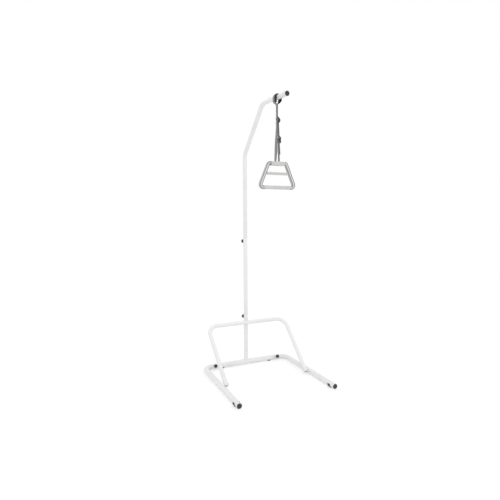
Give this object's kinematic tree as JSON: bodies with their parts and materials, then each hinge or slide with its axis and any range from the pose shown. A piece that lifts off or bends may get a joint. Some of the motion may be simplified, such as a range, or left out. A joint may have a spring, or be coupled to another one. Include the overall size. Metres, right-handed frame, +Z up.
{
  "type": "bed_trapeze",
  "caption": "Free-standing bed trapeze: bent white tube floor frame, mast with cranked boom, hoop brace, and a moulded trapezoid handle hanging on adjustable webbing.",
  "frame": {"origin": "on the floor, at the centre of the bounding box's bottom face", "axes": "+Z up; the legs and the boom point along -Y; +X along the cross tube"},
  "size_m": [0.704, 0.7178, 1.8656],
  "materials": {
    "white_paint": "gloss",
    "black_plastic": "matte",
    "zinc_steel": "satin",
    "sleeve_rubber": "matte",
    "grey_webbing": "woven",
    "handle_plastic": "satin"
  },
  "bodies": {
    "base_frame": {"cross_tube": "white_paint", "mast_lower_tube": "white_paint", "left_leg": "white_paint", "right_leg": "white_paint", "left_leg_plug": "black_plastic", "right_leg_plug": "black_plastic", "left_front_glide": "black_plastic", "right_front_glide": "black_plastic", "left_rear_glide": "black_plastic", "right_rear_glide": "black_plastic", "left_rivet_nut": "zinc_steel", "right_rivet_nut": "zinc_steel", "left_foot_bolt": "zinc_steel", "right_foot_bolt": "zinc_steel", "hoop_brace": "white_paint", "hoop_mast_bolt": "zinc_steel", "hoop_mast_nut": "zinc_steel", "left_leg_knob_nut": "white_paint", "right_leg_knob_nut": "white_paint", "lower_mast_knob_nut": "white_paint"},
    "left_leg_knob": {"left_leg_knob": "black_plastic", "left_leg_knob_stud": "zinc_steel"},
    "right_leg_knob": {"right_leg_knob": "black_plastic", "right_leg_knob_stud": "zinc_steel"},
    "lower_mast_knob": {"lower_mast_knob": "black_plastic", "lower_mast_knob_stud": "zinc_steel"},
    "mast_middle": {"mast_middle_tube": "white_paint", "upper_mast_knob_nut": "white_paint"},
    "upper_mast_knob": {"upper_mast_knob": "black_plastic", "upper_mast_knob_stud": "zinc_steel"},
    "boom": {"boom_tube": "white_paint", "boom_plug": "black_plastic", "rear_stop_pin": "white_paint", "front_stop_pin": "white_paint"},
    "boom_strap": {"boom_sleeve": "sleeve_rubber", "upper_strap": "grey_webbing"},
    "handle_unit": {"upper_buckle": "black_plastic", "lower_strap": "grey_webbing", "lower_buckle": "black_plastic", "trapeze_handle": "handle_plastic", "ribbed_grip": "handle_plastic"}
  },
  "joints": [
    {"name": "left_leg_knob_turn", "type": "hinge", "parent": "base_frame", "child": "left_leg_knob", "pos_m": [-0.252, 0.3101, 0.021], "axis": [0, -0.9272, 0.3746], "continuous": true},
    {"name": "right_leg_knob_turn", "type": "hinge", "parent": "base_frame", "child": "right_leg_knob", "pos_m": [0.252, 0.3101, 0.021], "axis": [0, -0.9272, 0.3746], "continuous": true},
    {"name": "lower_mast_knob_turn", "type": "hinge", "parent": "base_frame", "child": "lower_mast_knob", "pos_m": [0, 0.3101, 0.359], "axis": [0, 1, 0], "continuous": true},
    {"name": "upper_mast_knob_turn", "type": "hinge", "parent": "mast_middle", "child": "upper_mast_knob", "pos_m": [0, 0.3101, 0.929], "axis": [0, 1, 0], "continuous": true},
    {"name": "mast_turn", "type": "hinge", "parent": "base_frame", "child": "mast_middle", "pos_m": [0, 0.3101, 0.385], "axis": [0, 0, 1], "continuous": true},
    {"name": "boom_turn", "type": "hinge", "parent": "mast_middle", "child": "boom", "pos_m": [0, 0.3101, 0.955], "axis": [0, 0, 1], "continuous": true},
    {"name": "strap_slide", "type": "slide", "parent": "boom", "child": "boom_strap", "axis": [0, -0.9964, -0.0851], "range_m": [-0.087, 0.067]},
    {"name": "handle_swing", "type": "hinge", "parent": "boom_strap", "child": "handle_unit", "pos_m": [0.00285, -0.1919, 1.70593], "axis": [0, 1, 0], "range_deg": [-60, 60]}
  ]
}
